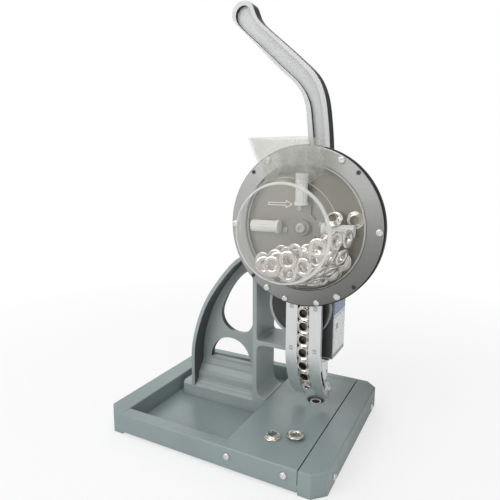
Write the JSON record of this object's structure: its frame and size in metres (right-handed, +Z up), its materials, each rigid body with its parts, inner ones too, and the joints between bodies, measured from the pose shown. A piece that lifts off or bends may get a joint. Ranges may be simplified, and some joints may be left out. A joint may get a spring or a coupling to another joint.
{
  "type": "eyelet setting press",
  "caption": "Hand-lever eyelet press with a clear rotary feed drum, curved feed track, cast C-frame and tray base.",
  "frame": {"origin": "middle of the overall footprint, on the bench plane", "axes": "+Z up, +X towards the table and die end, -Y towards the drum's clear cover, which is the front"},
  "size_m": [0.355, 0.2632, 0.6046],
  "materials": {
    "paint_base": "satin sage grey paint",
    "paint_stand": "satin sage grey paint over cast metal",
    "lever_paint": "silver grey enamel",
    "steel_brushed": "brushed",
    "steel_bright": "bright stainless",
    "steel_tool": "ground",
    "screw_chrome": "bright",
    "screw_black": "black oxide",
    "eyelet_nickel": "bright nickel",
    "black_plastic": "matt",
    "black_rubber": "matt",
    "white_plastic": "satin",
    "label_film": "gloss",
    "clear_acrylic": "clear acrylic",
    "motor_can": "semi gloss",
    "aluminium_plate": "milled"
  },
  "bodies": {
    "stand": {"back_rail": "paint_base", "base_floor_plate": "paint_base", "base_wall_screws": "screw_chrome", "bracket_screws": "screw_chrome", "drive_motor": "motor_can", "drum_back_plate": "black_plastic", "drum_bracket": "paint_stand", "drum_cover": "clear_acrylic", "drum_gasket": "black_rubber", "end_bar_left": "paint_base", "end_bar_right": "paint_base", "end_bar_screws": "screw_chrome", "eyelets_in_drum": "eyelet_nickel", "eyelets_in_track": "eyelet_nickel", "eyelets_on_table": "eyelet_nickel", "front_cap_screws": "screw_black", "gearbox": "motor_can", "gearbox_screws": "steel_tool", "gearbox_spacers": "steel_tool", "head_side_label": "label_film", "hopper_funnel": "clear_acrylic", "lower_die": "steel_tool", "ring_plate": "steel_brushed", "ring_screws": "screw_chrome", "ring_small_screws": "screw_black", "shaft_front_cap": "motor_can", "shaft_rear_bush": "steel_tool", "stand_bolts": "screw_black", "stand_casting": "paint_stand", "track_back_strip": "screw_black", "track_hangers": "steel_bright", "track_jaw_screws": "screw_chrome", "track_rail_left": "steel_bright", "track_rail_right": "steel_bright", "track_rivets": "steel_tool", "track_screws": "screw_chrome", "track_side_screws": "screw_chrome", "tray_body": "paint_base", "tray_screws": "screw_black"},
    "lever": {"pinion_shaft": "steel_tool", "shaft_collar": "steel_tool", "lever_key": "steel_tool", "hand_lever": "lever_paint", "lever_spacer": "steel_tool", "lever_washer": "steel_bright", "lever_nut": "steel_bright"},
    "ram": {"ram_rack": "steel_tool", "upper_die": "steel_bright", "pilot_pin": "steel_tool", "die_set_screw": "screw_black"},
    "rotor": {"rotor_disc": "aluminium_plate", "rotor_hub_plate": "aluminium_plate", "paddles": "white_plastic", "hub_plate_screws": "steel_tool", "drum_shaft": "steel_tool", "drum_shaft_bolt": "steel_tool", "eyelets_on_rotor": "eyelet_nickel"}
  },
  "joints": [
    {"name": "lever_swing", "type": "hinge", "parent": "stand", "child": "lever", "pos_m": [0.06465, 0.03, 0.1815], "axis": [0, 1, 0], "range_deg": [0, 95]},
    {"name": "ram_slide", "type": "slide", "parent": "stand", "child": "ram", "axis": [0, 0, -1], "range_m": [0, 0.0326]},
    {"name": "rotor_spin", "type": "hinge", "parent": "stand", "child": "rotor", "pos_m": [0.07605, -0.031, 0.2907], "axis": [0, 1, 0], "continuous": true}
  ],
  "couplings": [
    {"joint": "ram_slide", "follows": "lever_swing", "m_per_rad": 0.0195}
  ]
}
